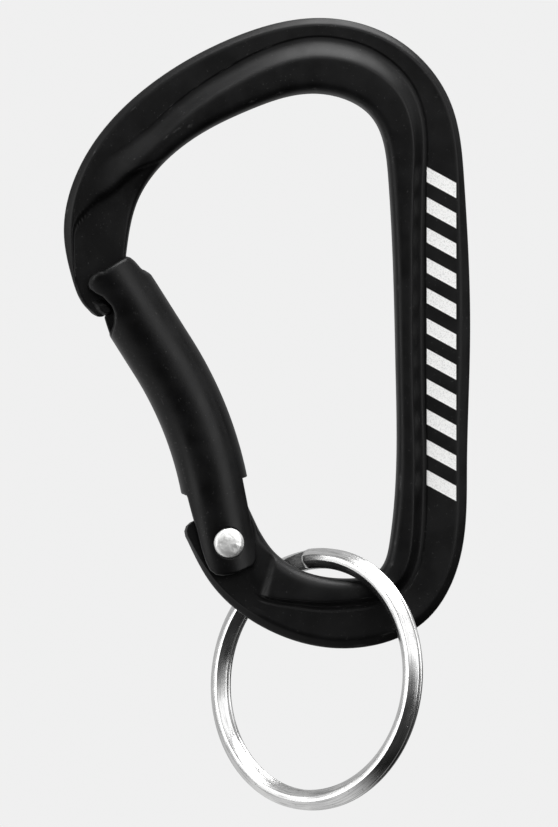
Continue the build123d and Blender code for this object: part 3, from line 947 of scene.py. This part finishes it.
def anodised(name, gloss, marked):
    """Black anodised aluminium: satin and faintly mottled, and grey along its sharp edges. That grey is
    partly wear and partly a painted highlight on the crests and rims.
    """
    material, tree, shader, place = new_material(name, Specular_IOR_Level=0.22)
    grain = speckle(tree, place, 9000, 3)
    mottle = speckle(tree, place, 420, 4)
    smear = drawn_out(tree, place, 2600, 0.15)
    color = mix(tree, ramp(tree, mottle, 0.3, 0.7), BLACK_DEEP, BLACK_PALE)
    edge = add(tree, "ShaderNodeNewGeometry").outputs["Pointiness"]
    # grey on the sharp edges: partly wear, partly a painted highlight along the crests and rims
    edge_wear_and_highlight = calc(tree, "MULTIPLY", ramp(tree, edge, 0.56, 0.70), ramp(tree, grain, 0.42, 0.62, 0.1, 0.5))
    color = mix(tree, edge_wear_and_highlight, color, WEAR_AND_EDGE_HIGHLIGHT)
    flecks = ramp(tree, speckle(tree, place, 5200, 1), 0.72, 0.76)
    color = mix(tree, calc(tree, "MULTIPLY", flecks, 0.3), color, WEAR_AND_EDGE_HIGHLIGHT)
    satin = ramp(tree, mottle, 0.25, 0.75, gloss, gloss + 0.1)
    rough = calc(tree, "ADD", satin, calc(tree, "MULTIPLY", smear, 0.07))
    layers = [(mottle, 0.006), (grain, 0.0012), (smear, 0.001)]
    if marked:
        bar = bars(tree, place)
        etch = calc(tree, "MULTIPLY", bar, ramp(tree, grain, 0.3, 0.55, 0.75, 1.0))
        color = mix(tree, etch, color, ETCHED)
        rough = calc(tree, "ADD", rough, calc(tree, "MULTIPLY", etch, 0.3))
        layers.append((bar, -0.02))
    dress(tree, shader, color, rough, *layers)
    return material


def plated_ring():
    """Bright plated steel with fine drawing lines that run along the wire."""
    material, tree, shader, place = new_material("plated_ring_steel", Metallic=1.0)
    centre = tuple(v * MM for v in RING_CENTRE)
    place = vector(tree, "SUBTRACT", place, centre).outputs[0]
    across, up, ahead = [
        vector(tree, "DOT_PRODUCT", place, tuple(v)).outputs["Value"] for v in ring_axes()]
    angle = calc(tree, "ARCTAN2", up, across)
    squares = calc(tree, "ADD", calc(tree, "POWER", across, 2.0), calc(tree, "POWER", up, 2.0))
    radius = calc(tree, "POWER", squares, 0.5)
    along_wire = calc(tree, "MULTIPLY", angle, DRAWN_ALONG)
    line = add(tree, "ShaderNodeCombineXYZ", {0: radius, 1: ahead, 2: along_wire}).outputs[0]
    streak = speckle(tree, line, 11000, 3)
    cloud = speckle(tree, place, 300, 3)
    pits = ramp(tree, speckle(tree, place, 3400, 1), 0.70, 0.76)
    color = mix(tree, ramp(tree, cloud, 0.3, 0.7), RING_GREY, RING_PALE)
    color = mix(tree, calc(tree, "MULTIPLY", pits, 0.5), color, RING_PIT)
    color = mix(tree, ramp(tree, streak, 0.33, 0.5, DRAWN, 0.0), color, RING_LINE)
    rough = calc(tree, "ADD", ramp(tree, cloud, 0.25, 0.75, 0.14, 0.22), calc(tree, "MULTIPLY", streak, 0.1))
    dress(tree, shader, color, rough, (cloud, 0.008), (streak, 0.003), (pits, -0.004))
    return material


def hammered_rivet():
    """Polished steel with the small dents of the tool that closed it."""
    material, tree, shader, place = new_material("hammered_rivet_steel", Metallic=0.7)
    given = {"Vector": place, "Scale": 2100.0}
    cells = add(tree, "ShaderNodeTexVoronoi", given, feature="SMOOTH_F1").outputs[0]
    scratch = drawn_out(tree, place, 9000, 0.06)
    cloud = speckle(tree, place, 900, 2)
    color = mix(tree, ramp(tree, cloud, 0.3, 0.7), RIVET_GREY, RIVET_PALE)
    rough = calc(tree, "ADD", ramp(tree, cloud, 0.3, 0.7, 0.30, 0.42), calc(tree, "MULTIPLY", scratch, 0.1))
    dress(tree, shader, color, rough, (cells, 0.03), (scratch, 0.002))
    return material


def spring_steel():
    """Oiled spring steel, darker than the ring and finely scratched."""
    material, tree, shader, place = new_material("oiled_spring_steel", Metallic=1.0)
    scratch = drawn_out(tree, place, 8000, 0.1)
    cloud = speckle(tree, place, 700, 3)
    color = mix(tree, ramp(tree, cloud, 0.3, 0.7), SPRING_DARK, SPRING_PALE)
    rough = calc(tree, "ADD", ramp(tree, cloud, 0.3, 0.7, 0.22, 0.34), calc(tree, "MULTIPLY", scratch, 0.1))
    dress(tree, shader, color, rough, (scratch, 0.002))
    return material


# ---- studio ----
CENTRE_X, CENTRE_Z = -3.90, -30.41  # what the camera looks at
IMAGE_HEIGHT = 78.70  # height of the view there
LENS, SENSOR = 600.0, 36.0
BACKDROP = 0.870
FLOOR_Z, FLOOR_R, FLOOR_SIDES = -76.0, 160.0, 96
FLOOR_FADE = 0.45  # share of its radius at which it starts to fade
FLOOR_GREY, FLOOR_PALE = (0.37, 0.37, 0.37), (0.40, 0.40, 0.40)
ROOM_LEFT, ROOM_RIGHT, ROOM_FRONT, ROOM_BACK = 0.6, 0.1, 0.04, 0.4
ROOM_ABOVE, ROOM_LOW = 0.5, 0.85
ROOM_UNDER = 0.22  # share of the room's brightness left straight below
LOW_CORNER = (-0.62, 0.33, -0.71)  # a pale patch of the room, seen in the bottom of the ring


def build_camera():
    """A long lens far in front of the part, so that it looks almost flat on."""
    data = bpy.data.cameras.new("camera")
    data.lens = LENS
    data.sensor_width = SENSOR
    camera = place_object("camera", data)
    distance = IMAGE_HEIGHT * MM / 2 / tan(atan(SENSOR / 2 / LENS))
    camera.location = (CENTRE_X * MM, -distance, CENTRE_Z * MM)
    camera.rotation_euler = (pi / 2, 0, 0)
    data.clip_end = 10
    bpy.context.scene.camera = camera


def build_light(name, direction, distance, size, radiance):
    """A soft panel that faces the part from one side; its radiance is how bright it looks in a mirror."""
    data = bpy.data.lights.new(name, "AREA")
    data.shape = "RECTANGLE"
    data.size, data.size_y = size
    data.energy = radiance * size[0] * size[1] * pi
    light = place_object(name, data)
    way = Vector(direction).normalized()
    light.location = Vector((CENTRE_X * MM, 0, CENTRE_Z * MM)) + way * distance
    light.rotation_euler = way.to_track_quat("Z", "Y").to_euler()
    light.visible_camera = False


def build_world():
    """An even pale backdrop for the camera, and a soft dim room for the reflections."""
    world = bpy.data.worlds.new("studio")
    bpy.context.scene.world = world
    world.use_nodes = True
    tree = world.node_tree
    tree.nodes.clear()
    way = add(tree, "ShaderNodeTexCoord").outputs["Generated"]
    x, y, z = add(tree, "ShaderNodeSeparateXYZ", {0: way}).outputs
    sides = ramp(tree, x, -0.3, 0.3, ROOM_LEFT, ROOM_RIGHT)
    front = ramp(tree, calc(tree, "MULTIPLY", y, -1.0), 0.2, 0.7, sides, ROOM_FRONT)
    above = ramp(tree, z, 0.0, 0.3, 0.0, ROOM_ABOVE)
    towards = vector(tree, "DOT_PRODUCT", way, LOW_CORNER).outputs["Value"]
    low = ramp(tree, towards, 0.5, 0.8, 0.0, ROOM_LOW)
    under = ramp(tree, z, -0.75, -0.5, ROOM_UNDER, 1.0)
    room = calc(tree, "MULTIPLY", calc(tree, "MAXIMUM", front, above), under)
    back = ramp(tree, y, 0.3, 0.65, 0.0, ROOM_BACK)
    room = calc(tree, "MAXIMUM", calc(tree, "MAXIMUM", room, low), back)
    dim = add(tree, "ShaderNodeBackground", {"Strength": room, "Color": (1, 1, 1, 1)})
    pale = add(tree, "ShaderNodeBackground", {"Strength": BACKDROP, "Color": (1, 1, 1, 1)})
    camera_ray = add(tree, "ShaderNodeLightPath").outputs["Is Camera Ray"]
    both = add(tree, "ShaderNodeMixShader", {0: camera_ray, 1: dim.outputs[0], 2: pale.outputs[0]})
    add(tree, "ShaderNodeOutputWorld", {"Surface": both.outputs[0]})


def build_floor():
    """A round pale floor that fades out before its edge."""
    points = [(0, 0, FLOOR_Z)]
    for k in range(FLOOR_SIDES):
        turn = 2 * pi * k / FLOOR_SIDES
        points.append((FLOOR_R * cos(turn), FLOOR_R * sin(turn), FLOOR_Z))
    faces = [(0, k + 1, (k + 1) % FLOOR_SIDES + 1) for k in range(FLOOR_SIDES)]
    mesh = bpy.data.meshes.new("floor")
    mesh.from_pydata((np.array(points) * MM).tolist(), [], faces)
    material, tree, shader, place = new_material("pale_floor", Roughness=0.7)
    tint = speckle(tree, place, 40, 3)
    color = mix(tree, tint, FLOOR_GREY, FLOOR_PALE)
    tree.links.new(color, shader.inputs["Base Color"])
    flat = vector(tree, "MULTIPLY", place, (1, 1, 0)).outputs[0]
    reach = vector(tree, "LENGTH", flat).outputs["Value"]
    left = ramp(tree, reach, FLOOR_FADE * FLOOR_R * MM, FLOOR_R * MM, 1.0, 0.0)
    tree.links.new(left, shader.inputs["Alpha"])
    mesh.materials.append(material)
    floor = place_object("floor", mesh)
    floor.visible_glossy = False
    floor.visible_diffuse = False


# ---- scene ----
spring_metal = spring_steel()
frame_black = anodised("anodised_black_frame", 0.34, True)
build_frame(frame_black)
build_bulb(frame_black)
build_gate(anodised("anodised_black_gate", 0.28, False))
build_rivet(hammered_rivet())
build_plunger(spring_metal)
build_spring(spring_metal)
build_ring(plated_ring())
build_floor()
build_camera()
build_world()
build_light("top_panel", (0.15, -0.12, 1.0), 0.45, (0.5, 0.34), 8.5)
build_light("right_panel", (1.0, 0.0, 0.42), 0.5, (0.2, 0.2), 1.0)
build_light("left_panel", (-1.0, -0.5, 0.15), 0.5, (0.2, 0.4), 2.8)
build_light("front_panel", (0.14, -0.8, 0.48), 0.6, (0.3, 0.3), 1.3)
build_light("key_panel", (0.8, -1.0, 0.22), 0.6, (0.34, 0.42), 2.3)
bpy.context.scene.view_settings.view_transform = "Standard"


def corners(box):
    """A box's two corners as plain numbers."""
    return [[float(v) for v in corner] for corner in box]


bpy.context.view_layer.update()
